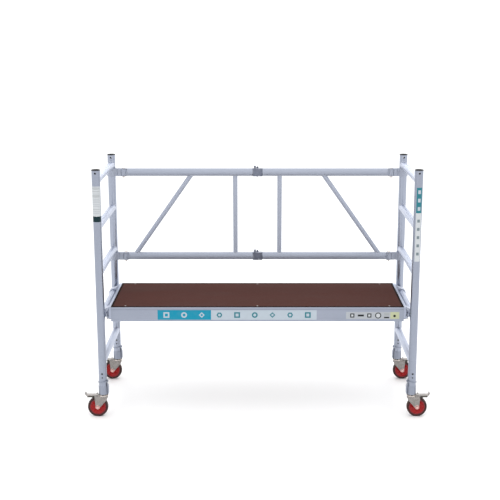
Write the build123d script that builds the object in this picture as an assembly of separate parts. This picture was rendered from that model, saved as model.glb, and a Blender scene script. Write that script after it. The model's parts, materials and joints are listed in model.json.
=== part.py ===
from build123d import *
import os
from math import atan2, cos, degrees, hypot, pi, radians, sin

# Folding room scaffold. Millimetres, +X along the length, +Z up, -Y is the open side and +Y the gate
# side. The origin lies on the floor below the middle of the scaffold.

# ---------- driving dimensions ----------
HALF_LENGTH = 950.0  # end frame plane from the middle
HALF_WIDTH = 335.0  # upright axis from the middle
TUBE_R = 25.0  # uprights and gate rails
TUBE_WALL = 3.0
TOP_Z = 1538.0  # open upper end of the uprights
LEG_END_Z = 148.0  # lower end of the upright tube
FOOT_TOP_Z = 332.0  # top of the thicker foot that guides the castor stem
FOOT_BORE_R = 20.0
RUNG_Z = [350.0, 630.0, 910.0, 1190.0, 1470.0]
RUNG_R = 22.5
RUNG_BORE_R = 20.0
TOP_PIN_Z = 1518.0  # cross hole for the spigot pin
LOW_PIN_Z = 280.0  # cross hole for the leg adjustment pin
BUTTON_Z = 255.0  # smaller hole below it, in the tube only
BUTTON_HOLE_R = 4.5
CROSS_HOLE_R = 6.0
SLEEVE_R = 27.0
SLEEVE_TOP_Z = 200.0
SLEEVE_LOW_Z = 145.0

RAIL_Z = [1420.0, 860.0]  # gate rails, upper and lower
PIVOT_X = 872.0  # end pivots of the gate
POST_X = 145.0
POST_R = 15.0
POST_BORE_R = 13.5
BRACE_TOP_X = 420.0  # where the brace axis meets the upper rail's axis
BRACE_LOW_X = 815.0
HINGE_OFFSET = 20.0  # mid hinge axis behind the rails' axes
FITTING_HALF = 25.0  # gate fittings are as tall as the rails

DECK_TOP = 686.0
DECK_THICK = 12.0
DECK_LENGTH = 1790.0
DECK_WIDTH = 580.0
BEAM_TOP = 684.0
BEAM_LOW = 595.0
SUPPORT_RUNG = 630.0  # rung that carries the platform

WHEEL_R = 62.5
WHEEL_WIDTH = 32.0
TRAIL = 35.0  # wheel axle beyond the swivel axis

RUNNING = 0.05  # radial clearance of a shaft in its hole
GAP = 0.3  # clearance between bodies

SIDES = {"left": -1.0, "right": 1.0}
ROWS = {"front": -1.0, "rear": 1.0}


# ---------- helpers ----------
def rod(radius, length, at, axis="Z"):
    turn = {"Z": (0, 0, 0), "Y": (90, 0, 0), "X": (0, 90, 0)}[axis]
    return Pos(*at) * Rot(*turn) * Cylinder(radius, length)


def block(x0, x1, y0, y1, z0, z1):
    size = Box(abs(x1 - x0), abs(y1 - y0), abs(z1 - z0))
    return Pos((x0 + x1) / 2, (y0 + y1) / 2, (z0 + z1) / 2) * size


def pieces(shape):
    return list(shape.solids())


def save(node, shapes):
    solids = []
    for shape in shapes:
        solids += pieces(shape)
    body = solids[0] if len(solids) == 1 else Compound(children=solids)
    body.label = node
    export_step(body, "parts/" + node + ".step")


def fluted(radius, count, depth, bore):
    """Round tube section with shallow lengthwise flutes."""
    flute_r = FLUTE_SHARE * 2.0 * radius * pi / count
    reach = radius + flute_r - depth
    section = Circle(radius)
    for index in range(count):
        angle = radians((index + 0.5) * 360.0 / count)
        section -= Pos(reach * cos(angle), reach * sin(angle)) * Circle(flute_r)
    return section - Circle(bore)


def hexagon(flats, height, at, axis="Z"):
    turn = {"Z": (0, 0, 0), "Y": (90, 0, 0)}[axis]
    prism = extrude(RegularPolygon(flats / 2.0, 6, major_radius=False), height / 2.0, both=True)
    return Pos(*at) * Rot(*turn) * prism


# ---------- end frames ----------
RUNG_FLUTES = 16
FLUTE_SHARE = 0.30  # flute radius as a share of the pitch
COLLAR_CAP = 2.0  # plastic over the end face of the tube
COLLAR_SKIRT = 5.0
COLLAR_SKIN = 1.0
FLUTE_DEPTH = 0.7
CLIP_Z = 228.0
CLIP_R = 28.2
CLIP_WIRE_R = 1.8
CLIP_TILT = 12.0
CLIP_PIN_R = 3.5
CLIP_EYE_R = 6.5
CLIP_EYE_LENGTH = 6.0


def upright(sx, sy):
    section = Circle(TUBE_R) - Circle(TUBE_R - TUBE_WALL)
    height = TOP_Z - COLLAR_CAP - LEG_END_Z
    tube = Pos(sx * HALF_LENGTH, sy * HALF_WIDTH, LEG_END_Z) * extrude(section, height)
    middle = (FOOT_TOP_Z + LEG_END_Z) / 2
    foot = rod(TUBE_R - TUBE_WALL + 1, FOOT_TOP_Z - LEG_END_Z, (sx * HALF_LENGTH, sy * HALF_WIDTH, middle))
    tube += foot - rod(FOOT_BORE_R, TOP_Z, (sx * HALF_LENGTH, sy * HALF_WIDTH, middle))
    for level in (TOP_PIN_Z, LOW_PIN_Z):
        tube -= rod(CROSS_HOLE_R, 3 * TUBE_R, (sx * HALF_LENGTH, sy * HALF_WIDTH, level), "Y")
    tube -= rod(BUTTON_HOLE_R, 3 * TUBE_R, (sx * HALF_LENGTH, sy * HALF_WIDTH, BUTTON_Z), "Y")
    return tube - clip_pin(sx, sy, CLIP_PIN_R + RUNNING)


def top_collar(sx, sy):
    """Plastic ring over the open end of an upright."""
    place = (sx * HALF_LENGTH, sy * HALF_WIDTH)
    ring = rod(TUBE_R + COLLAR_SKIN, COLLAR_SKIRT, (*place, TOP_Z - COLLAR_SKIRT / 2))
    ring -= rod(TUBE_R, COLLAR_SKIRT, (*place, TOP_Z - COLLAR_CAP - COLLAR_SKIRT / 2))
    return ring - rod(TUBE_R - TUBE_WALL, 2 * COLLAR_SKIRT, (*place, TOP_Z))


def clip_pin(sx, sy, radius):
    inner = HALF_LENGTH - FOOT_BORE_R + 4.0
    outer = HALF_LENGTH - TUBE_R - 8.0
    middle = (inner + outer) / 2.0
    return rod(radius, inner - outer, (sx * middle, sy * HALF_WIDTH, CLIP_Z), "X")


def leg_lock_clip(sx, sy):
    ring = Torus(CLIP_R, CLIP_WIRE_R)
    loop = Pos(sx * HALF_LENGTH, sy * HALF_WIDTH, CLIP_Z) * Rot(0, sx * CLIP_TILT, 0) * ring
    eye_x = HALF_LENGTH - CLIP_R - 1
    eye = rod(CLIP_EYE_R, CLIP_EYE_LENGTH, (sx * eye_x, sy * HALF_WIDTH, CLIP_Z), "X")
    eye -= rod(TUBE_R + RUNNING, 4 * CLIP_EYE_R, (sx * HALF_LENGTH, sy * HALF_WIDTH, CLIP_Z))
    return loop + eye + clip_pin(sx, sy, CLIP_PIN_R)


def rung(sx, level):
    bar = Rot(90, 0, 0) * extrude(fluted(RUNG_R, RUNG_FLUTES, FLUTE_DEPTH, RUNG_BORE_R), 2 * HALF_WIDTH)
    bar = Pos(sx * HALF_LENGTH, HALF_WIDTH, level) * bar
    for sy in ROWS.values():
        bar -= rod(TUBE_R, 4 * RUNG_R, (sx * HALF_LENGTH, sy * HALF_WIDTH, level))
    return max(pieces(bar), key=lambda solid: solid.volume)


def castor_sleeve(sx, sy):
    ring = Cylinder(SLEEVE_R, SLEEVE_TOP_Z - SLEEVE_LOW_Z)
    ring = chamfer(ring.edges().group_by(Axis.Z)[-1], 2.5)
    ring -= Cylinder(TUBE_R + RUNNING, 2 * SLEEVE_TOP_Z)
    return Pos(sx * HALF_LENGTH, sy * HALF_WIDTH, (SLEEVE_TOP_Z + SLEEVE_LOW_Z) / 2) * ring


STEM_R = FOOT_BORE_R - RUNNING
STEM_TOP_Z = 328.0
RACE_TOP_Z = 145.0
RACE_LOW_Z = 139.5
RACE_R = 27.0
RACE_NOTCHES = 10
NOTCH_R = 3.6


def castor_stem(sx, sy):
    place = (sx * HALF_LENGTH, sy * HALF_WIDTH)
    stem = rod(STEM_R, STEM_TOP_Z - RACE_TOP_Z, (*place, (STEM_TOP_Z + RACE_TOP_Z) / 2))
    stem += rod(RACE_R, RACE_TOP_Z - RACE_LOW_Z, (*place, (RACE_TOP_Z + RACE_LOW_Z) / 2))
    stem -= rod(CROSS_HOLE_R, 3 * STEM_R, (*place, LOW_PIN_Z), "Y")
    for index in range(RACE_NOTCHES):
        angle = radians((index + 0.5) * 360.0 / RACE_NOTCHES)
        notch = (place[0] + RACE_R * cos(angle), place[1] + RACE_R * sin(angle), RACE_LOW_Z)
        stem -= rod(NOTCH_R, 2 * (RACE_TOP_Z - RACE_LOW_Z) - 2, notch)
    return stem - clip_pin(sx, sy, CLIP_PIN_R + RUNNING)


LEVER_OUT = 34.0  # reach of the lock lever from the upright's axis
LEVER_HALF = 12.0
LEVER_SLOPE_Z = 219.0
LEVER_FOOT_Z = SLEEVE_LOW_Z + 3.0


def leg_lock_lever(sx, sy):
    """Spring lever that holds the castor stem, on the inner side of the leg."""
    back = SLEEVE_R - 0.5
    tube = TUBE_R + 0.5
    outline = [(back, LEVER_FOOT_Z), (LEVER_OUT - 1, LEVER_FOOT_Z), (LEVER_OUT, LEVER_FOOT_Z + 5),
               (LEVER_OUT, SLEEVE_TOP_Z - 4), (tube + 1.5, LEVER_SLOPE_Z - 2), (tube, LEVER_SLOPE_Z),
               (tube, SLEEVE_TOP_Z + 1), (back, SLEEVE_TOP_Z - 2)]
    section = make_face(Polyline(*outline, close=True))
    lever = Pos(0, LEVER_HALF, 0) * Rot(90, 0, 0) * extrude(section, 2 * LEVER_HALF)
    lever -= Pos(0, 0, SLEEVE_LOW_Z) * Cylinder(SLEEVE_R + RUNNING, 2 * (SLEEVE_TOP_Z - SLEEVE_LOW_Z))
    turn = Rot(0, 0, 180 if sx > 0 else 0)
    return Pos(sx * HALF_LENGTH, sy * HALF_WIDTH, 0) * turn * lever


# ---------- castors, drawn with the trail towards +X and the swivel axis at x = y = 0 ----------
AXLE_R = 5.0
FORK_INNER = 19.0
FORK_OUTER = 22.0
CROWN_LOW_Z = 128.0
CROWN_TOP_Z = 133.0
SWIVEL_R = 28.0
EAR_TOP_Z = 143.0
PEDAL_X = 41.0  # pedal pivot
PEDAL_Z = 137.5
PEDAL_HALF = 17.0
PEDAL_TIP = 113.0
SKIRT = 11.5
PEDAL_PIN_R = 2.5
AXLE_AT = (TRAIL, 0, WHEEL_R)


def fork():
    crown = block(-24, 52, -FORK_OUTER, FORK_OUTER, CROWN_LOW_Z, CROWN_TOP_Z)
    crown += rod(SWIVEL_R, RACE_LOW_Z - GAP - CROWN_LOW_Z, (0, 0, (RACE_LOW_Z - GAP + CROWN_LOW_Z) / 2))
    boss = Pos(TRAIL, WHEEL_R) * Circle(12)
    root = Pos(14, CROWN_TOP_Z - 10) * Rectangle(76, 20)
    cheek = extrude(make_hull([*boss.edges(), *root.edges()]), FORK_OUTER - FORK_INNER)
    ear = Pos(PEDAL_X, PEDAL_Z) * Circle(5.5) + Pos(PEDAL_X, PEDAL_Z - 5) * Rectangle(11, 10)
    ear = extrude(ear, FORK_OUTER - FORK_INNER)
    body = crown
    for start in (-FORK_INNER, FORK_OUTER):
        body += Pos(0, start, 0) * Rot(90, 0, 0) * cheek
        body += Pos(0, start, 0) * Rot(90, 0, 0) * ear
    body -= rod(WHEEL_R + 2.5, 2 * FORK_INNER, AXLE_AT, "Y")
    body -= rod(AXLE_R + RUNNING, 3 * FORK_OUTER, AXLE_AT, "Y")
    body -= rod(PEDAL_PIN_R + RUNNING, 3 * FORK_OUTER, (PEDAL_X, 0, PEDAL_Z), "Y")
    return body


def axle():
    shank = rod(AXLE_R, 2 * (FORK_OUTER + 4), AXLE_AT, "Y")
    for side in (-1, 1):
        shank += hexagon(15, 5, (TRAIL, side * (FORK_OUTER + 2.5), WHEEL_R), "Y")
    return shank


def lathe(points):
    """Ring about the axle from a half section of (radius, width) points."""
    ring = revolve(Plane.XZ * make_face(Polyline(*points, close=True)), Axis.Z)
    return Pos(*AXLE_AT) * Rot(90, 0, 0) * ring


RIM_R = 51.0


def wheel_rim():
    outline = [(AXLE_R + RUNNING, -17), (13, -17), (15, -12), (36, -5), (44, -13), (RIM_R, -13),
               (RIM_R, 13), (44, 13), (36, 5), (15, 12), (13, 17), (AXLE_R + RUNNING, 17)]
    return lathe(outline)


def tyre():
    half = WHEEL_WIDTH / 2.0
    crown = ThreePointArc((WHEEL_R - 4, -half), (WHEEL_R, 0), (WHEEL_R - 4, half))
    side = Polyline((WHEEL_R - 4, half), (RIM_R, half - 2), (RIM_R, 2 - half), (WHEEL_R - 4, -half))
    ring = revolve(Plane.XZ * make_face([crown, side]), Axis.Z)
    return Pos(*AXLE_AT) * Rot(90, 0, 0) * ring


def brake_pedal():
    plate = block(34, 104, -PEDAL_HALF, PEDAL_HALF, PEDAL_Z - 1.5, PEDAL_Z + 1.5)
    tip = Polyline((102, PEDAL_Z - 1.5), (106, PEDAL_Z), (PEDAL_TIP, PEDAL_Z + 14),
                   (PEDAL_TIP - 3.5, PEDAL_Z + 15), (103, PEDAL_Z + 1.5), close=True)
    tip = Pos(0, PEDAL_HALF, 0) * Rot(90, 0, 0) * extrude(make_face(tip), 2 * PEDAL_HALF)
    shoe = block(56, 70, -12, 12, WHEEL_R + 40, PEDAL_Z)
    shoe -= rod(WHEEL_R + 4.0, 60, AXLE_AT, "Y")
    pin = rod(PEDAL_PIN_R, 2 * (FORK_OUTER + 1), (PEDAL_X, 0, PEDAL_Z), "Y")
    skirts = block(PEDAL_X + 18, 98, -PEDAL_HALF, PEDAL_HALF, PEDAL_Z - SKIRT, PEDAL_Z)
    skirts -= block(0, 120, 3 - PEDAL_HALF, PEDAL_HALF - 3, 0, PEDAL_Z - 1.5)
    return plate + tip + shoe + pin + skirts


def save_castors():
    for row, sy in ROWS.items():
        for side, sx in SIDES.items():
            place = Pos(sx * HALF_LENGTH, sy * HALF_WIDTH, 0) * Rot(0, 0, 0 if sx > 0 else 180)
            name = row + "_" + side + "_castor_"
            save(name + "fork", [place * fork()])
            save(name + "axle", [place * axle()])
            save(name + "wheel", [place * wheel_rim()])
            save(name + "tyre", [place * tyre()])
            save(name + "pedal", [place * brake_pedal()])


# ---------- gate brackets on the rear uprights ----------
KNUCKLE_R = 20.0
FORK_GAP_HALF = 18.5  # half the height between the fork plates
BOLT_R = 6.0
ARM_HALF = 15.0
CLAMP_R = 30.0
SEAM_X = 913.0  # groove between the clamp and its arm
SEAM_WIDTH = 2.5
SEAM_DEPTH = 3.0


def gate_bracket(sx, level):
    post = (sx * HALF_LENGTH, HALF_WIDTH, level)
    pivot = (sx * PIVOT_X, HALF_WIDTH, level)
    body = rod(CLAMP_R, 2 * FITTING_HALF, post)
    low = level - FITTING_HALF
    high = level + FITTING_HALF
    arm = block(sx * HALF_LENGTH, sx * PIVOT_X, HALF_WIDTH - ARM_HALF, HALF_WIDTH + ARM_HALF, low, high)
    body += arm + rod(KNUCKLE_R, 2 * FITTING_HALF, pivot)
    body -= rod(KNUCKLE_R + 2.0, 2 * FORK_GAP_HALF, pivot)
    body -= rod(TUBE_R + RUNNING, 3 * FITTING_HALF, post)
    seam = (sx * SEAM_X, HALF_WIDTH, level)
    core = Box(2 * SEAM_WIDTH, 2 * (ARM_HALF - SEAM_DEPTH), 2 * (FITTING_HALF - SEAM_DEPTH))
    body -= Pos(*seam) * (Box(SEAM_WIDTH, 3 * ARM_HALF, 3 * FITTING_HALF) - core)
    return body - rod(BOLT_R + RUNNING, 3 * FITTING_HALF, pivot)


def pivot_bolt(sx, level, through):
    """Bolt head above the fork, nut below it; the open pivot has a stub in each fork plate only."""
    at = (sx * PIVOT_X, HALF_WIDTH)
    bolt = rod(BOLT_R, 2 * FITTING_HALF, (*at, level))
    bolt += Pos(*at, level + FITTING_HALF + 2.5) * Cylinder(10, 5)
    bolt += hexagon(18, 7, (*at, level - FITTING_HALF - 3.5))
    bolt += rod(BOLT_R, 4, (*at, level - FITTING_HALF - 9))
    if not through:
        bolt -= rod(2 * BOLT_R, 2 * FORK_GAP_HALF, (*at, level))
    return bolt


# ---------- folding gate ----------
LEFT_RAIL_END = 32.0  # inner end of the left half's rails
RIGHT_RAIL_END = 34.0
RAIL_START = PIVOT_X - 26.0
PLUG_R = TUBE_R - TUBE_WALL - 0.1
COLLAR_R = 25.4
PLUG_LENGTH = 34.0
FORK_FACE = 29.0
TONGUE_FACE = 31.0
HINGE_PIN_R = 5.0
TONGUE_HALF = 15.7
KNUCKLE_EYE_R = 10.0
LEAF_DEPTH = 37.0
LEAF_Y = -1.5
SHOULDER_GAP = 1.0
SHOULDER_TOP = 16.0
HEEL_GAP = 0.6
HEEL_DEPTH = 26.0
HEEL_Y = -6.5  # middle of the heel, in front of the rails' axes
PLATE_INNER = 16.0
LOCK_X = -16.0
LOCK_R = 4.0


def gate_rail(sx, level, inner_end):
    middle = sx * (RAIL_START + inner_end) / 2.0
    length = RAIL_START - inner_end
    rail = rod(TUBE_R, length, (middle, HALF_WIDTH, level), "X")
    return rail - rod(TUBE_R - TUBE_WALL, 2 * length, (middle, HALF_WIDTH, level), "X")


def slanted(radius, low, high):
    """Round bar from one (x, z) point to another in the gate's plane."""
    run = hypot(high[0] - low[0], high[1] - low[1])
    lean = degrees(atan2(high[0] - low[0], high[1] - low[1]))
    middle = ((low[0] + high[0]) / 2, HALF_WIDTH, (low[1] + high[1]) / 2)
    return Pos(*middle) * Rot(0, lean, 0) * Cylinder(radius, run)


def gate_strut(sx, low_x, high_x):
    """Tube between the rails, coped to their round sides."""
    low = (sx * low_x, RAIL_Z[1])
    high = (sx * high_x, RAIL_Z[0])
    strut = slanted(POST_R, low, high) - slanted(POST_BORE_R, low, high)
    for level in RAIL_Z:
        strut -= rod(TUBE_R, 4 * HALF_LENGTH, (0, HALF_WIDTH, level), "X")
    return max(pieces(strut), key=lambda solid: solid.volume)


def end_knuckle(sx, level):
    inner = PIVOT_X - RAIL_START
    body = rod(KNUCKLE_R, 2 * FORK_GAP_HALF - 2 * GAP, (0, 0, 0))
    body += block(0, inner, -14, 14, GAP - FORK_GAP_HALF, FORK_GAP_HALF - GAP)
    body += rod(COLLAR_R, 3.5, (inner - 1.75, 0, 0), "X")
    body += rod(PLUG_R, PLUG_LENGTH, (inner + PLUG_LENGTH / 2, 0, 0), "X")
    body -= rod(BOLT_R + RUNNING, 80, (0, 0, 0))
    turn = Rot(0, 0, 0 if sx < 0 else 180)
    return Pos(sx * PIVOT_X, HALF_WIDTH, level) * turn * body


def hinge_leaf_plan(face, root_end):
    """Plan of a hinge leaf: a root from the collar's face to root_end, and the round knuckle on the pin."""
    knuckle = Pos(0, HINGE_OFFSET) * Circle(KNUCKLE_EYE_R)
    root = Pos((face + root_end) / 2, LEAF_Y) * Rectangle(abs(face - root_end), LEAF_DEPTH)
    return make_hull([*knuckle.edges(), *root.edges()])


def mid_fork(level):
    collar_end = -LEFT_RAIL_END
    plan = hinge_leaf_plan(-FORK_FACE, KNUCKLE_EYE_R)
    body = Pos(0, 0, -FITTING_HALF) * extrude(plan, 2 * FITTING_HALF)
    body -= block(-FORK_FACE, 40, -60, 60, -PLATE_INNER, PLATE_INNER)
    body += rod(COLLAR_R, LEFT_RAIL_END - FORK_FACE, (-(LEFT_RAIL_END + FORK_FACE) / 2, 0, 0), "X")
    body += rod(PLUG_R, PLUG_LENGTH, (collar_end - PLUG_LENGTH / 2, 0, 0), "X")
    body -= rod(HINGE_PIN_R + RUNNING, 80, (0, HINGE_OFFSET, 0))
    body -= rod(LOCK_R + RUNNING, 30, (LOCK_X, 0, PLATE_INNER + 15))
    return Pos(0, HALF_WIDTH, level) * body


def mid_tongue(level):
    """Leaf between the fork's plates; its heel fills the fork while the gate is straight."""
    plan = hinge_leaf_plan(TONGUE_FACE, TONGUE_FACE * 0.6)
    heel = FORK_FACE - HEEL_GAP
    plan += Pos((TONGUE_FACE - heel) / 2, HEEL_Y) * Rectangle(TONGUE_FACE + heel, HEEL_DEPTH)
    body = Pos(0, 0, -TONGUE_HALF) * extrude(plan, 2 * TONGUE_HALF)
    shoulder = KNUCKLE_EYE_R + SHOULDER_GAP
    body += block(shoulder, TONGUE_FACE, LEAF_Y - LEAF_DEPTH / 2, SHOULDER_TOP, -FITTING_HALF, FITTING_HALF)
    body += rod(COLLAR_R, RIGHT_RAIL_END - TONGUE_FACE, ((RIGHT_RAIL_END + TONGUE_FACE) / 2, 0, 0), "X")
    body += rod(PLUG_R, PLUG_LENGTH, (RIGHT_RAIL_END + PLUG_LENGTH / 2, 0, 0), "X")
    body -= rod(HINGE_PIN_R + RUNNING, 80, (0, HINGE_OFFSET, 0))
    return Pos(0, HALF_WIDTH, level) * body


def hinge_pin(level):
    at = (0, HALF_WIDTH + HINGE_OFFSET)
    pin = rod(HINGE_PIN_R, 66, (*at, level))
    return pin + rod(7.5, 4, (*at, level + FITTING_HALF + 2)) + Pos(*at, level + 34) * Cone(5, 3, 2)


def lock_pin(level):
    at = (LOCK_X, HALF_WIDTH)
    pin = rod(LOCK_R, 24, (*at, level + PLATE_INNER + 0.3 + 12))
    return pin + rod(6.5, 12, (*at, level + 36))


# ---------- platform ----------
DECK_END = DECK_LENGTH / 2.0
DECK_SIDE = DECK_WIDTH / 2.0
END_WIDTH = 16.0
END_TOP = 684.0
END_LOW = 612.0
LIP = 3.0
WEB = 3.0
TOP_LIP_LOW = 671.0
LOW_LIP_TOP = 602.0
SHELF = 48.0
BEARER_X = [-660.0, -330.0, 0.0, 330.0, 660.0]
SCREW_X = [-808.0, 0.0, 808.0]
SCREW_Y = 262.0
SCREW_R = 3.0
SCREW_HEAD_R = 6.0
SCREW_HEAD = 2.5
SCREW_LENGTH = DECK_THICK - 0.2
HOOK_Y = 258.0
HOOK_HALF = 20.0
HOOK_INNER = 23.0
HOOK_OUTER = 31.0
LATCH_Y = 240.0
LATCH_HALF = 13.0
LATCH_TOP = 606.0
LATCH_LOW = 600.5


def edge_beam(sy):
    web_out = DECK_SIDE - LIP
    web_in = web_out - WEB
    outline = [(DECK_SIDE, BEAM_TOP), (DECK_SIDE, TOP_LIP_LOW), (web_out, TOP_LIP_LOW - LIP),
               (web_out, LOW_LIP_TOP + LIP), (DECK_SIDE, LOW_LIP_TOP), (DECK_SIDE, BEAM_LOW),
               (web_in - 22, BEAM_LOW), (web_in - 22, BEAM_LOW + 3), (web_in, BEAM_LOW + 3),
               (web_in, DECK_TOP - DECK_THICK - 4), (DECK_SIDE - SHELF, DECK_TOP - DECK_THICK - 4),
               (DECK_SIDE - SHELF, DECK_TOP - DECK_THICK), (web_in, DECK_TOP - DECK_THICK),
               (web_in, BEAM_TOP)]
    outline = [(sy * across, up) for across, up in outline]
    profile = Plane.YZ * make_face(Polyline(*outline, close=True))
    return Pos(-DECK_END, 0, 0) * extrude(profile, DECK_LENGTH, dir=(1, 0, 0))


def end_profile(sx):
    """Upright flat bar with a foot, closing the ends of the two edge beams."""
    outer = DECK_END + END_WIDTH
    bar = block(sx * DECK_END, sx * outer, -DECK_SIDE + LIP, DECK_SIDE - LIP, END_LOW, END_TOP)
    groove = block(sx * (outer - 3), sx * (outer + 1), -DECK_SIDE, DECK_SIDE, END_LOW + 8, END_TOP - 8)
    return bar - groove


def deck_board():
    side = DECK_SIDE - LIP - WEB
    board = block(-DECK_END, DECK_END, -side, side, DECK_TOP - DECK_THICK, DECK_TOP)
    for x, y in screw_places():
        board -= deck_screw(x, y, RUNNING, 2 * DECK_THICK)
    return board


def screw_places():
    return [(x, sy * SCREW_Y) for x in SCREW_X for sy in ROWS.values()]


def deck_screw(x, y, gap, length):
    """Countersunk screw with its head flush with the board."""
    head = Cone(SCREW_R + gap, SCREW_HEAD_R + gap, SCREW_HEAD)
    shank = rod(SCREW_R + gap, length, (x, y, DECK_TOP - length / 2))
    return Pos(x, y, DECK_TOP - SCREW_HEAD / 2) * head + shank


def cross_bearer(x):
    side = DECK_SIDE - SHELF - 1.0
    top = DECK_TOP - DECK_THICK
    bar = block(x - 20, x + 20, -side, side, top - 25, top)
    bar -= block(x - 18, x + 18, -side, side, top - 23, top - 2)
    for sy in ROWS.values():
        foot = block(x - 15, x + 15, sy * side, sy * (DECK_SIDE - LIP - WEB), top - 25, top - 5)
        bar += foot
    return bar


def rung_hook(sx, sy):
    """Claw over the carrying rung, tied back to the platform's end by a strap below."""
    rung_x = HALF_LENGTH
    claw = Pos(rung_x, SUPPORT_RUNG) * Circle(HOOK_OUTER)
    claw += Pos(rung_x, SUPPORT_RUNG - 6) * Rectangle(2 * HOOK_OUTER, 12)
    claw -= Pos(rung_x, SUPPORT_RUNG) * Circle(HOOK_INNER)
    claw -= Pos(rung_x, SUPPORT_RUNG - 25) * Rectangle(2 * HOOK_INNER, 50)
    claw -= Pos(rung_x, SUPPORT_RUNG - 12 - 25) * Rectangle(4 * HOOK_OUTER, 50)
    face = DECK_END + END_WIDTH
    plate = Pos(face + 2, (END_LOW + END_TOP) / 2) * Rectangle(4, END_TOP - END_LOW)
    crown = SUPPORT_RUNG + HOOK_OUTER
    arm = Polyline((face + 3, END_TOP - 20), (face + 3, END_TOP - 5), (face + 14, END_TOP - 9),
                   (rung_x, crown), (rung_x - 14, crown - 6), (rung_x - 26, crown - 11), close=True)
    claw_x = rung_x - HOOK_INNER - 0.5
    strap = Polyline((face + 3, END_LOW), (face + 3, END_LOW + 8), (face + 8, END_LOW + 9),
                     (claw_x - 5.5, SUPPORT_RUNG + 6), (claw_x, SUPPORT_RUNG + 6),
                     (claw_x, SUPPORT_RUNG - 6), (face + 12, END_LOW + 2), close=True)
    profile = claw + plate + make_face(arm) + make_face(strap)
    profile -= Pos(rung_x, SUPPORT_RUNG) * Circle(HOOK_INNER)
    hook = Pos(0, HOOK_HALF, 0) * Rot(90, 0, 0) * extrude(profile, 2 * HOOK_HALF)
    hook = Pos(0, sy * HOOK_Y, 0) * hook
    return hook if sx > 0 else mirror(hook, Plane.YZ)


LATCH_REST_TIP = HALF_LENGTH - RUNG_R - 1.5
LATCH_TAIL = 836.0
KNOB_R = 4.0
KNOB_LENGTH = 12.5


def wind_latch(sx, sy):
    bar = block(LATCH_TAIL, LATCH_REST_TIP, -LATCH_HALF, LATCH_HALF, LATCH_LOW, LATCH_TOP)
    bar += rod(KNOB_R, KNOB_LENGTH, (LATCH_TAIL + KNOB_R + 3, 0, LATCH_LOW + 0.5 - KNOB_LENGTH / 2))
    bar = Pos(0, sy * LATCH_Y, 0) * bar
    return bar if sx > 0 else mirror(bar, Plane.YZ)


def latch_guide(sx, sy):
    low = LATCH_LOW - GAP
    top = LATCH_TOP + GAP
    half = LATCH_HALF + GAP
    body = block(DECK_END - 20, DECK_END + END_WIDTH, -half - 3, half + 3, low - 2.5, END_LOW)
    body -= block(0, HALF_LENGTH, -half, half, low, top)
    body = Pos(0, sy * LATCH_Y, 0) * body
    return body if sx > 0 else mirror(body, Plane.YZ)


# ---------- write every node ----------
def save_end_frames():
    for row, sy in ROWS.items():
        for side, sx in SIDES.items():
            save(row + "_" + side + "_upright", [upright(sx, sy)])
    for side, sx in SIDES.items():
        save(side + "_rungs", [rung(sx, level) for level in RUNG_Z])
    corners = [(sx, sy) for sx in SIDES.values() for sy in ROWS.values()]
    ends = [(sx, level) for sx in SIDES.values() for level in RAIL_Z]
    save("gate_brackets", [gate_bracket(sx, level) for sx, level in ends])
    save("gate_pivot_bolts", [pivot_bolt(sx, level, sx < 0) for sx, level in ends])
    save("top_collars", [top_collar(sx, sy) for sx, sy in corners])
    save("leg_lock_levers", [leg_lock_lever(sx, sy) for sx, sy in corners])
    save("leg_lock_clips", [leg_lock_clip(sx, sy) for sx, sy in corners])
    save("castor_sleeves", [castor_sleeve(sx, sy) for sx, sy in corners])
    save("castor_stems", [castor_stem(sx, sy) for sx, sy in corners])


def save_gate():
    ends = {"left": LEFT_RAIL_END, "right": RIGHT_RAIL_END}
    for side, sx in SIDES.items():
        for level, place in zip(RAIL_Z, ("upper", "lower")):
            save(side + "_gate_" + place + "_rail", [gate_rail(sx, level, ends[side])])
        save(side + "_gate_post", [gate_strut(sx, POST_X, POST_X)])
        save(side + "_gate_brace", [gate_strut(sx, BRACE_LOW_X, BRACE_TOP_X)])
        save(side + "_gate_knuckles", [end_knuckle(sx, level) for level in RAIL_Z])
    save("mid_hinge_forks", [mid_fork(level) for level in RAIL_Z])
    save("mid_hinge_tongues", [mid_tongue(level) for level in RAIL_Z])
    save("mid_hinge_pins", [hinge_pin(level) for level in RAIL_Z])
    save("upper_lock_pin", [lock_pin(RAIL_Z[0])])
    save("lower_lock_pin", [lock_pin(RAIL_Z[1])])


def save_platform():
    corners = [(sx, sy) for sx in SIDES.values() for sy in ROWS.values()]
    save("deck_board", [deck_board()])
    save("deck_screws", [deck_screw(x, y, 0.0, SCREW_LENGTH) for x, y in screw_places()])
    save("front_edge_beam", [edge_beam(-1.0)])
    save("rear_edge_beam", [edge_beam(1.0)])
    save("end_profiles", [end_profile(sx) for sx in SIDES.values()])
    save("cross_bearers", [cross_bearer(x) for x in BEARER_X])
    save("rung_hooks", [rung_hook(sx, sy) for sx, sy in corners])
    save("latch_guides", [latch_guide(sx, sy) for sx, sy in corners])
    for row, sy in ROWS.items():
        for side, sx in SIDES.items():
            save(row + "_" + side + "_wind_latch", [wind_latch(sx, sy)])


os.makedirs("parts", exist_ok=True)
save_end_frames()
save_gate()
save_platform()
save_castors()
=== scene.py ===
"""Looks of the folding room scaffold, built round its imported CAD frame.

Metres, +Z up, -Y is the open side and +Y the gate side.
"""
import json
import math
import random

import bmesh
import bpy
from mathutils import Matrix, Vector, noise


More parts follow.
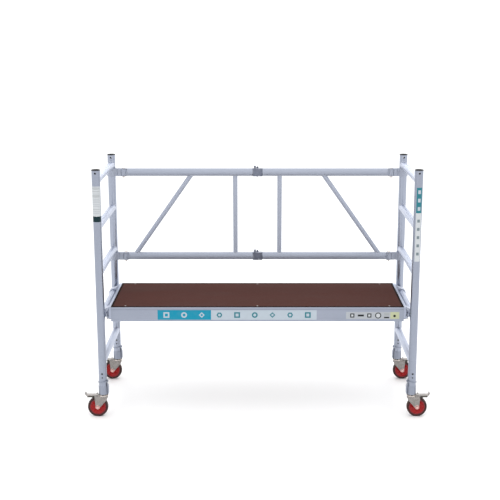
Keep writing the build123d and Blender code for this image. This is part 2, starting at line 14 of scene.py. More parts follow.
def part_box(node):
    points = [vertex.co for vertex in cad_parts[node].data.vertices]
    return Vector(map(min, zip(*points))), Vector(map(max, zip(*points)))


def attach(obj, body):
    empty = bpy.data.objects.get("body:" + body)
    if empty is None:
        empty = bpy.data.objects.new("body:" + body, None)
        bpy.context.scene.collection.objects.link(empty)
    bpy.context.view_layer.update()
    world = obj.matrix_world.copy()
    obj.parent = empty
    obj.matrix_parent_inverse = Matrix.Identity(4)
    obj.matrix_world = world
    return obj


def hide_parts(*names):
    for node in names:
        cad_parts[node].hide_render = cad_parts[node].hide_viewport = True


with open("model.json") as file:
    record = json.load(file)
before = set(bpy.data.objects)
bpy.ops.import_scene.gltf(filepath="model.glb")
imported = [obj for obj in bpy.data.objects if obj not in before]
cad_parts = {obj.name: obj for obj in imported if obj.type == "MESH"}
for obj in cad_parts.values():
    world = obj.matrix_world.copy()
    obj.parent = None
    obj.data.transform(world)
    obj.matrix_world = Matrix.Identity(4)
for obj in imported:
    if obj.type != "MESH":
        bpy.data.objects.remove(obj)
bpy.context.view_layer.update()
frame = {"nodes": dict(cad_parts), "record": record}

NODES = frame["nodes"]
SLOT_OF = {row["node"]: row["material_slot"] for row in frame["record"]["subparts"]}
MM = 0.001
SIDES = {"left": -1.0, "right": 1.0}
ROWS = {"front": -1.0, "rear": 1.0}


def middle(node):
    low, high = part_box(node)
    return (low + high) / 2


# ---------- sizes taken from the frame ----------
TUBE_R = 25.0 * MM
POST_R = 15.0 * MM
RUNG_R = 22.5 * MM
UPRIGHT_X = middle("front_right_upright").x
UPRIGHT_Y = middle("rear_right_upright").y
RUNG_LEVELS = [350.0 * MM, 630.0 * MM, 910.0 * MM, 1190.0 * MM, 1470.0 * MM]
RAIL_LEVELS = {"upper": middle("left_gate_upper_rail").z, "lower": middle("left_gate_lower_rail").z}
DECK_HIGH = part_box("deck_board")[1]
BEAM_RECESS = 3.0 * MM  # the printed web stands this far behind the beam's lips
BEAM_FACE_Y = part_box("front_edge_beam")[0].y + BEAM_RECESS
PEDAL_PLATE_Z = 136.0 * MM  # underside of a pedal's plate


# ---------- node materials ----------
class Shader:
    """A Principled material with short calls to add and join nodes."""

    def __init__(self, name, base, metallic=0.0, roughness=0.5, specular=0.5):
        self.material = bpy.data.materials.new(name)
        self.material.use_nodes = True
        self.tree = self.material.node_tree
        self.bsdf = self.tree.nodes["Principled BSDF"]
        self.set("Base Color", (*base, 1.0))
        self.set("Metallic", metallic)
        self.set("Roughness", roughness)
        self.set("Specular IOR Level", specular)

    def set(self, socket, value):
        self.bsdf.inputs[socket].default_value = value

    def node(self, kind, inputs=None, **settings):
        made = self.tree.nodes.new(kind)
        for name, value in settings.items():
            setattr(made, name, value)
        for name, value in (inputs or {}).items():
            if isinstance(value, bpy.types.NodeSocket):
                self.tree.links.new(value, made.inputs[name])
            else:
                made.inputs[name].default_value = value
        return made

    def math(self, operation, first, second=0.0):
        return self.node("ShaderNodeMath", {0: first, 1: second}, operation=operation).outputs[0]

    def places(self, scale=(1.0, 1.0, 1.0), turn=(0.0, 0.0, 0.0)):
        """Object coordinates, stretched by scale."""
        coordinates = self.node("ShaderNodeTexCoord").outputs["Object"]
        mapping = self.node("ShaderNodeMapping", {"Vector": coordinates, "Scale": scale, "Rotation": turn})
        return mapping.outputs["Vector"]

    def noise(self, vector, scale, detail=3.0, roughness=0.55):
        inputs = {"Vector": vector, "Scale": scale, "Detail": detail, "Roughness": roughness}
        return self.node("ShaderNodeTexNoise", inputs).outputs["Fac"]

    def cells(self, vector, scale, feature="F1", output="Distance"):
        inputs = {"Vector": vector, "Scale": scale}
        return self.node("ShaderNodeTexVoronoi", inputs, feature=feature).outputs[output]

    def remap(self, value, low, high, new_low, new_high):
        inputs = {"Value": value, "From Min": low, "From Max": high, "To Min": new_low, "To Max": new_high}
        return self.node("ShaderNodeMapRange", inputs).outputs["Result"]

    def mix(self, factor, first, second):
        """Colour between first and second by factor; colours are tuples or sockets."""
        made = self.node("ShaderNodeMix", data_type="RGBA")
        for index, value in ((0, factor), (6, first), (7, second)):
            if isinstance(value, bpy.types.NodeSocket):
                self.tree.links.new(value, made.inputs[index])
            elif index == 0:
                made.inputs[index].default_value = value
            else:
                made.inputs[index].default_value = (*value, 1.0)
        return made.outputs[2]

    def drive(self, socket, value):
        self.tree.links.new(value, self.bsdf.inputs[socket])

    def bump(self, height, distance, strength):
        inputs = {"Height": height, "Distance": distance, "Strength": strength}
        self.drive("Normal", self.node("ShaderNodeBump", inputs).outputs["Normal"])


def stretch(axis, along, across):
    """Texture scale that draws lines along one axis."""
    return tuple(along if letter == axis else across for letter in "XYZ")


def scaled(colour, factor):
    return tuple(part * factor for part in colour)


def aluminium(name, axis, bright=1.0, rough=0.42, metal=1.0):
    """Satin extruded tube with fine drawing lines along one axis, handling marks and a few scratches; bright
    makes a lighter or darker copy of it, painted light and painted shade for the part it goes on.
    """
    base = scaled((0.32, 0.348, 0.422), bright)
    shader = Shader(name, base, metallic=metal, roughness=rough)
    lines = shader.noise(shader.places(stretch(axis, 0.6, 90.0)), 9.0, 5.0, 0.7)
    bands = shader.noise(shader.places(stretch(axis, 0.5, 9.0)), 3.0, 2.0)
    smudge = shader.noise(shader.places(), 7.0, 4.0, 0.6)
    light = shader.mix(shader.remap(lines, 0.3, 0.7, 0.0, 1.0), scaled(base, 0.93), scaled(base, 1.07))
    tint = shader.mix(shader.remap(bands, 0.35, 0.7, 0.0, 0.5), light, scaled(base, 0.95))
    wear = shader.cells(shader.places(stretch(axis, 5.0, 26.0), (0.3, 0.2, 0.5)), 4.0, "DISTANCE_TO_EDGE")
    scratch = shader.remap(wear, 0.0, 0.012, 0.35, 0.0)
    gated = shader.math("MULTIPLY", scratch, shader.remap(smudge, 0.52, 0.62, 0.0, 1.0))
    shader.drive("Base Color", shader.mix(gated, tint, scaled(base, 1.4)))
    dull = shader.remap(smudge, 0.3, 0.72, rough - 0.08, rough + 0.08)
    shader.drive("Roughness", shader.math("ADD", dull, shader.remap(lines, 0.3, 0.7, -0.04, 0.06)))
    shader.bump(lines, 0.00006, 0.5)
    return shader


def paint_bore_shade(shader):
    """Painted shade: the inner wall of the uprights, whose axes stand at the four corners, is coloured near
    black and not metallic, so that bores and pin holes read dark.
    """
    coordinates = shader.node("ShaderNodeTexCoord").outputs["Object"]
    axes = shader.node("ShaderNodeSeparateXYZ", {"Vector": coordinates})
    off_x = shader.math("SUBTRACT", shader.math("ABSOLUTE", axes.outputs["X"]), UPRIGHT_X)
    off_y = shader.math("SUBTRACT", shader.math("ABSOLUTE", axes.outputs["Y"]), UPRIGHT_Y)
    square = shader.math("ADD", shader.math("MULTIPLY", off_x, off_x), shader.math("MULTIPLY", off_y, off_y))
    radius = shader.math("SQRT", square)
    outside = shader.remap(radius, TUBE_R - 0.7 * MM, TUBE_R - 0.4 * MM, 0.0, 1.0)
    bright = shader.bsdf.inputs["Base Color"].links[0].from_socket
    # painted shade: inside the bore the colour goes near black
    shader.drive("Base Color", shader.mix(outside, (0.012, 0.014, 0.016), bright))
    shader.drive("Metallic", outside)
    return shader


def cast_alloy(name, dark, light):
    """Bead-blasted casting: fine grain, slightly brighter where it rubs."""
    shader = Shader(name, light, metallic=1.0, roughness=0.45)
    grain = shader.noise(shader.places(), 420.0, 4.0, 0.65)
    cloud = shader.noise(shader.places(), 30.0, 3.0)
    shader.drive("Base Color", shader.mix(shader.remap(cloud, 0.3, 0.7, 0.0, 1.0), dark, light))
    shader.drive("Roughness", shader.remap(grain, 0.3, 0.7, 0.38, 0.56))
    shader.bump(grain, 0.00022, 0.5)
    return shader.material


def zinc():
    """Bright zinc plating over pressed steel, with faint spangle and rubbed spots."""
    shader = Shader("zinc_plate", (0.34, 0.315, 0.30), metallic=1.0, roughness=0.34)
    spangle = shader.cells(shader.places(), 240.0, "F1", "Color")
    value = shader.node("ShaderNodeSeparateColor", {"Color": spangle}).outputs["Red"]
    cloud = shader.noise(shader.places(), 45.0, 4.0)
    base = shader.mix(value, (0.22, 0.205, 0.195), (0.34, 0.318, 0.305))
    shader.drive("Base Color", shader.mix(shader.remap(cloud, 0.5, 0.75, 0.0, 0.5), base, (0.2, 0.185, 0.17)))
    shader.drive("Roughness", shader.remap(cloud, 0.3, 0.7, 0.28, 0.46))
    shader.bump(shader.noise(shader.places(), 300.0, 2.0), 0.0001, 0.35)
    return shader


def paint_pedal_skirt_shade(shader):
    """Painted shade: the underside and skirts below the plated top of a pedal are coloured near black."""
    coordinates = shader.node("ShaderNodeTexCoord").outputs["Object"]
    height = shader.node("ShaderNodeSeparateXYZ", {"Vector": coordinates}).outputs["Z"]
    top = shader.remap(height, PEDAL_PLATE_Z - 0.6 * MM, PEDAL_PLATE_Z + 0.6 * MM, 0.0, 1.0)
    plated = shader.bsdf.inputs["Base Color"].links[0].from_socket
    # painted shade below the level of the pedal's plate
    shader.drive("Base Color", shader.mix(top, (0.085, 0.078, 0.07), plated))
    return shader


def weld_metal():
    """Ripple-bright bead of a hand weld, a little greyer at its toes."""
    shader = Shader("weld_bead", (0.5, 0.52, 0.58), metallic=1.0, roughness=0.4)
    grain = shader.noise(shader.places(), 180.0, 4.0)
    shader.drive("Base Color", shader.mix(grain, (0.40, 0.42, 0.49), (0.62, 0.64, 0.7)))
    shader.drive("Roughness", shader.remap(grain, 0.3, 0.7, 0.32, 0.52))
    shader.bump(grain, 0.0002, 0.4)
    return shader.material


RIM_WIDTH = 15.0 * MM  # width of the darker band round the deck


def deck_film():
    """Brown phenolic film with a pressed mesh grip, scuffed lightly and darker round the rim."""
    shader = Shader("deck_film", (0.06, 0.024, 0.02), roughness=0.75, specular=0.03)
    coordinates = shader.node("ShaderNodeTexCoord").outputs["Object"]
    axes = shader.node("ShaderNodeSeparateXYZ", {"Vector": coordinates})
    inside_x = shader.math("SUBTRACT", DECK_HIGH.x, shader.math("ABSOLUTE", axes.outputs["X"]))
    inside_y = shader.math("SUBTRACT", DECK_HIGH.y, shader.math("ABSOLUTE", axes.outputs["Y"]))
    inset = shader.math("MINIMUM", inside_x, inside_y)
    rim = shader.remap(inset, RIM_WIDTH * 0.75, RIM_WIDTH, 1.0, 0.0)
    tone = shader.noise(shader.places((0.35, 1.0, 1.0)), 6.0, 4.0, 0.6)
    speck = shader.noise(shader.places(), 260.0, 3.0)
    brown = shader.mix(shader.remap(tone, 0.3, 0.7, 0.0, 1.0), (0.055, 0.020, 0.016), (0.066, 0.025, 0.0205))
    brown = shader.mix(shader.remap(speck, 0.45, 0.75, 0.0, 0.22), brown, (0.13, 0.062, 0.052))
    scuff = shader.noise(shader.places((2.0, 14.0, 1.0), (0.0, 0.0, 0.35)), 3.0, 6.0, 0.75)
    brown = shader.mix(shader.remap(scuff, 0.66, 0.8, 0.0, 0.25), brown, (0.16, 0.1, 0.085))
    shader.drive("Base Color", shader.mix(rim, brown, (0.014, 0.007, 0.006)))
    mesh_a = shader.node("ShaderNodeTexWave", {"Vector": shader.places(), "Scale": 78.0}, bands_direction="X")
    mesh_b = shader.node("ShaderNodeTexWave", {"Vector": shader.places(), "Scale": 78.0}, bands_direction="Y")
    grip = shader.math("MULTIPLY", mesh_a.outputs["Fac"], mesh_b.outputs["Fac"])
    shader.drive("Roughness", shader.remap(tone, 0.3, 0.7, 0.66, 0.82))
    shader.bump(grip, 0.0003, 0.5)
    return shader.material


def rubber():
    """Grey-black rolling band, dusty where it meets the floor."""
    shader = Shader("tyre_rubber", (0.045, 0.022, 0.022), roughness=0.6, specular=0.25)
    dust = shader.noise(shader.places(), 60.0, 5.0, 0.6)
    shader.drive("Base Color", shader.mix(shader.remap(dust, 0.45, 0.75, 0.0, 0.6), (0.042, 0.019, 0.018),
                                          (0.095, 0.052, 0.046)))
    shader.drive("Roughness", shader.remap(dust, 0.3, 0.7, 0.5, 0.72))
    shader.bump(shader.noise(shader.places(), 500.0, 3.0), 0.00015, 0.5)
    return shader.material


def red_gloss():
    """Injection-moulded red wheel centre with a light gloss and fine flow marks."""
    shader = Shader("red_gloss", (0.30, 0.007, 0.008), roughness=0.3, specular=0.2)
    flow = shader.noise(shader.places(), 55.0, 3.0)
    shader.drive("Base Color", shader.mix(flow, (0.25, 0.004, 0.005), (0.34, 0.008, 0.009)))
    shader.drive("Roughness", shader.remap(flow, 0.3, 0.7, 0.16, 0.3))
    shader.bump(shader.noise(shader.places(), 320.0, 2.0), 0.00008, 0.3)
    shader.set("Coat Weight", 0.08)
    shader.set("Coat Roughness", 0.12)
    return shader.material


def shaded_flange_gloss():
    """Outer flange of the wheel centre: painted shade, its red coloured darker and browner than the centre's,
    with its gloss a little duller.
    """
    shader = Shader("shaded_flange_gloss", (0.17, 0.02, 0.024), roughness=0.3, specular=0.25)
    flange_mottle = shader.noise(shader.places(), 70.0, 4.0)
    shader.drive("Base Color", shader.mix(shader.remap(flange_mottle, 0.35, 0.7, 0.0, 1.0), (0.20, 0.018, 0.022),
                                          (0.12, 0.024, 0.028)))
    shader.drive("Roughness", shader.remap(flange_mottle, 0.3, 0.7, 0.24, 0.42))
    shader.bump(flange_mottle, 0.0001, 0.3)
    return shader.material


def polished_steel(name, tone):
    """Bright turned steel of nuts, washers and swivel races."""
    shader = Shader(name, tone, metallic=1.0, roughness=0.2)
    turned = shader.noise(shader.places((60.0, 60.0, 400.0)), 4.0, 3.0)
    shader.drive("Base Color", shader.mix(turned, scaled(tone, 0.91), scaled(tone, 1.1)))
    shader.drive("Roughness", shader.remap(turned, 0.3, 0.7, 0.14, 0.28))
    shader.bump(turned, 0.00004, 0.4)
    return shader.material


def moulded(name, colour, roughness=0.5):
    """Plain moulded plastic with a spark-eroded grain."""
    shader = Shader(name, colour, roughness=roughness, specular=0.4)
    grain = shader.noise(shader.places(), 380.0, 3.0)
    lighter = tuple(min(1.0, part * 1.35 + 0.006) for part in colour)
    shader.drive("Base Color", shader.mix(grain, colour, lighter))
    shader.drive("Roughness", shader.remap(grain, 0.3, 0.7, roughness - 0.08, roughness + 0.1))
    shader.bump(grain, 0.0001, 0.4)
    return shader.material


def print_film(name, colour):
    """Printed vinyl film, slightly uneven and rubbed."""
    shader = Shader(name, colour, roughness=0.45, specular=0.08)
    cloud = shader.noise(shader.places(), 40.0, 4.0, 0.6)
    worn = tuple(0.92 * part + 0.02 for part in colour)
    shader.drive("Base Color", shader.mix(shader.remap(cloud, 0.4, 0.75, 0.0, 1.0), colour, worn))
    shader.drive("Roughness", shader.remap(cloud, 0.3, 0.7, 0.34, 0.5))
    shader.bump(shader.noise(shader.places(), 210.0, 2.0), 0.00005, 0.3)
    return shader.material


# Painted light and painted shade: the bright factors below colour each part's aluminium lighter or darker for
# the light that falls on it.
BEARER = aluminium("bearer_profile", "Y").material
UPRIGHT = paint_bore_shade(aluminium("upright_tube", "Z", 0.93, 0.3)).material
REAR_UPRIGHT = paint_bore_shade(aluminium("rear_upright_tube", "Z", 1.06, 0.3)).material
RUNG = aluminium("rung_tube", "Y", 1.32, 0.36).material
RAIL = aluminium("upper_rail_tube", "X", 1.01, 0.55, 0.15).material
LOW_RAIL = aluminium("lower_rail_tube", "X", 1.0, 0.55, 0.15).material
BEAM = aluminium("beam_profile", "X", 0.93).material
END_BAR = aluminium("end_bar", "Y", 1.2).material
STRUT = aluminium("strut_tube", "Z", 1.08, 0.55, 0.15).material
LEG = aluminium("leg_fitting", "Z", 0.88, 0.4).material
CAST = cast_alloy("cast_alloy", (0.33, 0.355, 0.425), (0.39, 0.415, 0.495))
# Painted light: the hooks' casting is coloured lighter than the other castings to lift the shade on their
# flanks and recesses.
HOOK_CAST = cast_alloy("lit_hook_casting", (0.47, 0.50, 0.58), (0.55, 0.58, 0.66))
HINGE_CAST = cast_alloy("hinge_casting", (0.13, 0.145, 0.19), (0.19, 0.205, 0.26))
ZINC = zinc().material
STEM = paint_bore_shade(zinc()).material
PEDAL = paint_pedal_skirt_shade(zinc()).material
WELD = weld_metal()
FILM = deck_film()
RUBBER = rubber()
RED = red_gloss()
FLANGE = shaded_flange_gloss()
POLISHED = polished_steel("polished_steel", (0.66, 0.60, 0.56))
# Painted reflection: the axle nuts and washers are tinted pink for the red of the wheels that they reflect.
HUB_STEEL = polished_steel("hub_steel_red_reflection", (0.66, 0.43, 0.40))
BLACK = moulded("black_plastic", (0.022, 0.024, 0.028))
TEAL = print_film("print_teal", (0.010, 0.232, 0.348))
DARK_TEAL = print_film("print_dark_teal", (0.03, 0.17, 0.21))
PALE = print_film("print_pale", (0.40, 0.455, 0.51))
WHITE = print_film("print_white", (0.495, 0.52, 0.54))
STRIP = print_film("print_strip", (0.37, 0.39, 0.42))
GREY = print_film("print_grey", (0.33, 0.35, 0.36))
INK = print_film("print_ink", (0.018, 0.02, 0.022))
NIGHT = print_film("print_night", (0.004, 0.022, 0.028))
LIME = print_film("print_lime", (0.44, 0.47, 0.30))
SLATE = print_film("print_slate", (0.17, 0.21, 0.23))
SLOT_FINISH = {"cast_fitting": CAST, "zinc_steel": ZINC, "deck": FILM, "tyre": RUBBER, "red_plastic": RED,
               "black_plastic": BLACK}
# The first ending that a node's name has gives its finish, so the longer endings come first.
FINISH_OF_ENDING = {"rear_left_upright": REAR_UPRIGHT, "rear_right_upright": REAR_UPRIGHT,
                    "_upright": UPRIGHT, "_rungs": RUNG, "_lower_rail": LOW_RAIL, "_rail": RAIL,
                    "_post": STRUT, "_brace": STRUT, "cross_bearers": BEARER,
                    "_sleeves": LEG, "_levers": LEG, "_clips": LEG, "_knuckles": RAIL, "_brackets": RAIL,
                    "_forks": HINGE_CAST, "_tongues": HINGE_CAST, "hinge_pins": HINGE_CAST,
                    "_lock_pin": HINGE_CAST, "rung_hooks": HOOK_CAST, "_beam": BEAM, "end_profiles": END_BAR,
                    "_bolts": POLISHED, "_axle": HUB_STEEL, "_stems": STEM, "_pedal": PEDAL}


def finish_of(node):
    for ending, finish in FINISH_OF_ENDING.items():
        if node.endswith(ending):
            return finish
    return SLOT_FINISH[SLOT_OF[node]]


# ---------- mesh helpers ----------
def smooth_group():
    """Geometry nodes that weld split corners and shade every face smooth."""
    tree = bpy.data.node_groups.new("weld_and_smooth", "GeometryNodeTree")
    tree.interface.new_socket("Geometry", in_out="INPUT", socket_type="NodeSocketGeometry")
    tree.interface.new_socket("Geometry", in_out="OUTPUT", socket_type="NodeSocketGeometry")
    source = tree.nodes.new("NodeGroupInput")
    weld = tree.nodes.new("GeometryNodeMergeByDistance")
    weld.inputs["Distance"].default_value = 0.002 * MM
    shade = tree.nodes.new("GeometryNodeSetShadeSmooth")
    target = tree.nodes.new("NodeGroupOutput")
    tree.links.new(source.outputs[0], weld.inputs["Geometry"])
    tree.links.new(weld.outputs["Geometry"], shade.inputs["Geometry"])
    tree.links.new(shade.outputs["Geometry"], target.inputs[0])
    return tree


SMOOTH = smooth_group()


SHARP_ANGLE = 32.0  # degrees, above which an edge is rounded


def soften(piece, width):
    """Rounds the sharp edges and shades the rest clean."""
    piece.modifiers.new("smooth", "NODES").node_group = SMOOTH
    edge = piece.modifiers.new("edges", "BEVEL")
    edge.width = width
    edge.segments = 2
    edge.limit_method = "ANGLE"
    edge.angle_limit = math.radians(SHARP_ANGLE)
    edge.use_clamp_overlap = False
    edge.miter_outer = "MITER_ARC"
    piece.modifiers.new("normals", "WEIGHTED_NORMAL").weight = 60


def new_piece(name, mesh, material, body, replaces=(), shade=True):
    """Links a finished mesh as a piece that rides on a body."""
    piece = bpy.data.objects.new(name, mesh)
    bpy.context.scene.collection.objects.link(piece)
    mesh.materials.append(material)
    if shade:
        mesh.shade_smooth()
    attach(piece, body)
    if replaces:
        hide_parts(*replaces)
    return piece


def mesh_from(builder, name):
    mesh = bpy.data.meshes.new(name)
    bmesh.ops.recalc_face_normals(builder, faces=builder.faces)
    builder.to_mesh(mesh)
    builder.free()
    return mesh


def ring_grid(builder, rings):
    """Quads between successive rings of points, the last ring joined to the first."""
    made = [[builder.verts.new(point) for point in ring] for ring in rings]
    count = len(made[0])
    for first, second in zip(made, made[1:] + made[:1]):
        for index in range(count):
            after = (index + 1) % count
            builder.faces.new((first[index], first[after], second[after], second[index]))


def lathe(builder, profile, place, steps, shape=None):
    """Ring about a Y axis through place from a closed (radius, across) profile.

    shape(angle, radius, across) may push a point in or out to make ribs or pockets.
    """
    rings = []
    for step in range(steps):
        angle = math.tau * step / steps
        ring = []
        for radius, across in profile:
            if shape:
                radius, across = shape(angle, radius, across)
            ring.append(place + Vector((radius * math.cos(angle), across, radius * math.sin(angle))))
        rings.append(ring)
    ring_grid(builder, rings)


def bead(builder, path, radius, ripples, seed):
    """Weld bead: a closed rope along path whose thickness ripples like stacked coins."""
    count = len(path)
    random.seed(seed)
    phase = random.random()
    rings = []
    for index, (point, outward) in enumerate(path):
        along = (path[(index + 1) % count][0] - path[index - 1][0]).normalized()
        side = along.cross(outward).normalized()
        up = side.cross(along)
        wave = 0.5 + 0.5 * math.cos(math.tau * (ripples * index / count + phase))
        swell = 1.0 + 0.14 * noise.noise(point * 160.0)
        size = radius * swell * (0.84 + 0.16 * wave)
        ring = []
        for corner in range(8):
            angle = math.tau * corner / 8
            ring.append(point + side * size * math.cos(angle) + up * size * 0.8 * math.sin(angle))
        rings.append(ring)
    ring_grid(builder, rings)


BEAD_STEPS = 192  # rings in a rung's bead; a strut's has half as many
RUNG_BEAD_R, RUNG_RIPPLES = 2.3 * MM, 46
STRUT_BEAD_R, STRUT_RIPPLES = 1.9 * MM, 30
BEAD_LEAN = 0.9  # how far a bead faces the tube that it lies on


def rung_bead(side, row, level):
    """Line where a rung runs into an upright."""
    path = []
    for step in range(BEAD_STEPS):
        angle = math.tau * step / BEAD_STEPS
        x = RUNG_R * math.cos(angle)
        z = RUNG_R * math.sin(angle)
        y = math.sqrt(TUBE_R ** 2 - x ** 2)
        point = Vector((side * UPRIGHT_X + x, row * (UPRIGHT_Y - y), level + z))
        outward = Vector((x / RUNG_R, -row * BEAD_LEAN, z / RUNG_R)).normalized()
        path.append((point, outward))
    return path


def strut_bead(low, high, at_top):
    """Line where a round strut of the gate runs into a rail."""
    along = (high - low).normalized()
    across = Vector((0.0, 1.0, 0.0))
    level = high.z if at_top else low.z
    sign = -1.0 if at_top else 1.0
    other = along.cross(across)
    path = []
    for step in range(BEAD_STEPS // 2):
        angle = math.tau * 2 * step / BEAD_STEPS
        offset = across * POST_R * math.cos(angle) + other * POST_R * math.sin(angle)
        wanted = level + sign * math.sqrt(TUBE_R ** 2 - offset.y ** 2)
        reach = (wanted - low.z - offset.z) / along.z
        point = low + offset + along * reach
        outward = (offset.normalized() + Vector((0.0, 0.0, sign * BEAD_LEAN))).normalized()
        path.append((point, outward))
    return path


# ---------- CAD nodes that stay ----------
# width of a rounded edge by slot; the other slots and the tubes below keep the CAD edges
EDGE = {"aluminium_tube": 0.5 * MM, "cast_fitting": 1.4 * MM, "zinc_steel": 0.45 * MM,
        "black_plastic": 0.6 * MM}
KEEP_NORMALS = ("_rungs", "leg_lock_clips", "_upright", "_rail", "_post", "_brace", "_forks", "_tongues")


def dress_frame():
    for node, piece in NODES.items():
        piece.data.materials.clear()
        piece.data.materials.append(finish_of(node))
        if not node.endswith(KEEP_NORMALS) and SLOT_OF[node] in EDGE:
            soften(piece, EDGE[SLOT_OF[node]])


# ---------- welds ----------
def weld_rungs():
    for side_name, side in SIDES.items():
        builder = bmesh.new()
        for count, level in enumerate(RUNG_LEVELS):
            for row in ROWS.values():
                seed = count * 7 + int(row) + int(side) * 3
                bead(builder, rung_bead(side, row, level), RUNG_BEAD_R, RUNG_RIPPLES, seed)
        mesh = mesh_from(builder, side_name + "_rung_welds")
        new_piece(mesh.name, mesh, WELD, "root")


POST_X = abs(middle("left_gate_post").x)
BRACE_TOP_X = 420.0 * MM
BRACE_LOW_X = 815.0 * MM


def weld_gate():
    for side_name, side in SIDES.items():
        builder = bmesh.new()
        for low_x, high_x in ((POST_X, POST_X), (BRACE_LOW_X, BRACE_TOP_X)):
            low = Vector((side * low_x, UPRIGHT_Y, RAIL_LEVELS["lower"]))
            high = Vector((side * high_x, UPRIGHT_Y, RAIL_LEVELS["upper"]))
            for at_top in (False, True):
                seed = int(1000 * low_x) + at_top
                bead(builder, strut_bead(low, high, at_top), STRUT_BEAD_R, STRUT_RIPPLES, seed)
        mesh = mesh_from(builder, side_name + "_gate_welds")
        new_piece(mesh.name, mesh, WELD, "gate_" + side_name)


# ---------- castors ----------
WHEEL_R = 62.5 * MM
RIM_R = 51.0 * MM
SPOKES = 8
SPOKE_FROM, SPOKE_TO = 14.0 * MM, 41.0 * MM
SPOKE_RISE = 4.2 * MM
FLANGE_FROM = 42.5 * MM
SHADE_SPOT_RING_R, SHADE_SPOT_R, SHADE_SPOT_Z = 23.6 * MM, 6.0 * MM, 141.0 * MM


def tyre_profile():
    """Rounded band with a shallow groove at each shoulder."""
    points = [(RIM_R - 0.4 * MM, -12.2 * MM), (RIM_R + 3.5 * MM, -13.6 * MM), (RIM_R + 4.4 * MM, -14.9 * MM),
              (RIM_R + 7.0 * MM, -15.8 * MM)]
    for step in range(13):
        angle = math.pi * (step / 12 - 0.5)
        across = 15.6 * MM * math.sin(angle)
        points.append((WHEEL_R - 3.6 * MM + 3.6 * MM * math.cos(angle) ** 0.7, across))
    points += [(radius, -across) for radius, across in reversed(points[:4])]
    return points


def rim_profile():
    """Half section of the wheel centre: hub, dished web and bead seat, both faces alike."""
    half = [(5.6, 17.0), (11.6, 17.0), (12.8, 16.2), (13.4, 14.0), (14.6, 9.6), (18.0, 7.4), (24.0, 6.6),
            (31.0, 6.6), (36.5, 7.8), (39.6, 10.6), (41.6, 13.0), (43.4, 13.8), (46.4, 13.9), (49.2, 13.4),
            (50.6, 12.4)]
    front = [(radius * MM, -across * MM) for radius, across in half]
    back = [(radius * MM, across * MM) for radius, across in reversed(half)]
    return front + back


def spoke_shape(angle, radius, across):
    """Raises ribs out of the dished web."""
    if SPOKE_FROM < radius < SPOKE_TO:
        fade = math.sin(math.pi * (radius - SPOKE_FROM) / (SPOKE_TO - SPOKE_FROM))
        rib = max(0.0, math.cos(SPOKES * angle)) ** 3
        across += math.copysign(SPOKE_RISE * rib * min(1.0, fade * 1.6), across)
    return radius, across


def castor_wheel(name, place):
    body = name.replace("_castor", "_wheel")
    builder = bmesh.new()
    lathe(builder, rim_profile(), place, 160, spoke_shape)
    mesh = mesh_from(builder, name + "_rim")
    rim = new_piece(mesh.name, mesh, RED, body, [name + "_wheel"])
    # faces beyond FLANGE_FROM take the flange's painted shade
    mesh.materials.append(FLANGE)
    for face in mesh.polygons:
        reach = face.center - place
        face.material_index = int(math.hypot(reach.x, reach.z) > FLANGE_FROM)
    rim.modifiers.new("normals", "WEIGHTED_NORMAL").keep_sharp = False
    builder = bmesh.new()
    lathe(builder, tyre_profile(), place, 128)
    mesh = mesh_from(builder, name + "_band")
    new_piece(mesh.name, mesh, RUBBER, body, [name + "_tyre"])


def hub_washers(name, place):
    """Domed washer under each axle nut."""
    profile = [(8.8, 22.05), (13.4, 22.05), (13.4, 22.9), (12.2, 23.8), (8.8, 24.2)]
    builder = bmesh.new()
    for side in (-1.0, 1.0):
        lathe(builder, [(radius * MM, side * across * MM) for radius, across in profile], place, 64)
    new_piece(name + "_hub_washers", mesh_from(builder, name + "_hub_washers"), HUB_STEEL, name)


def swivel_race(name, post):
    """Bright rolled race round the swivel head, with four black spheres above it as painted shade for the
    dark gaps under the sleeve.
    """
    profile = [(26.0, 133.2), (27.9, 133.2), (28.7, 134.2), (29.0, 136.1), (28.7, 138.0), (27.9, 139.1),
               (26.0, 139.1)]
    builder = bmesh.new()
    lathe(builder, [(radius * MM, across * MM) for radius, across in profile], Vector(), 96)
    bmesh.ops.rotate(builder, verts=builder.verts, cent=Vector(), matrix=Matrix.Rotation(math.pi / 2, 4, "X"))
    bmesh.ops.translate(builder, verts=builder.verts, vec=post)
    new_piece(name + "_swivel_race", mesh_from(builder, name + "_swivel_race"), POLISHED, name)
    # Painted shade: four black spheres stand for the dark gaps under the sleeve.
    builder = bmesh.new()
    for quarter in range(4):
        angle = quarter * math.pi / 2
        spot = post + Vector((SHADE_SPOT_RING_R * math.cos(angle), SHADE_SPOT_RING_R * math.sin(angle), SHADE_SPOT_Z))
        bmesh.ops.create_uvsphere(builder, u_segments=24, v_segments=14, radius=SHADE_SPOT_R,
                                  matrix=Matrix.Translation(spot))
    new_piece(name + "_race_shade_spots", mesh_from(builder, name + "_race_shade_spots"), BLACK, "root")


def dress_castors():
    for row_name, row in ROWS.items():
        for side_name, side in SIDES.items():
            name = row_name + "_" + side_name + "_castor"
            castor_wheel(name, middle(name + "_wheel"))
            hub_washers(name, middle(name + "_wheel"))
            swivel_race(name, Vector((side * UPRIGHT_X, row * UPRIGHT_Y, 0.0)))


# ---------- printed panels ----------
FILM_THICK = 0.12 * MM
FILM_COLUMNS = 14
# How far each layer of print stands off the metal, lowest first, so that no two share a surface.
PANEL_LIFT, MARK_LIFT, CORE_LIFT = 0.03 * MM, 0.16 * MM, 0.29 * MM
LABEL_LIFT, LABEL_MARK_LIFT = 0.05 * MM, 0.18 * MM
RIGHT_TURN = 0.12  # radians that the right label is turned about its upright


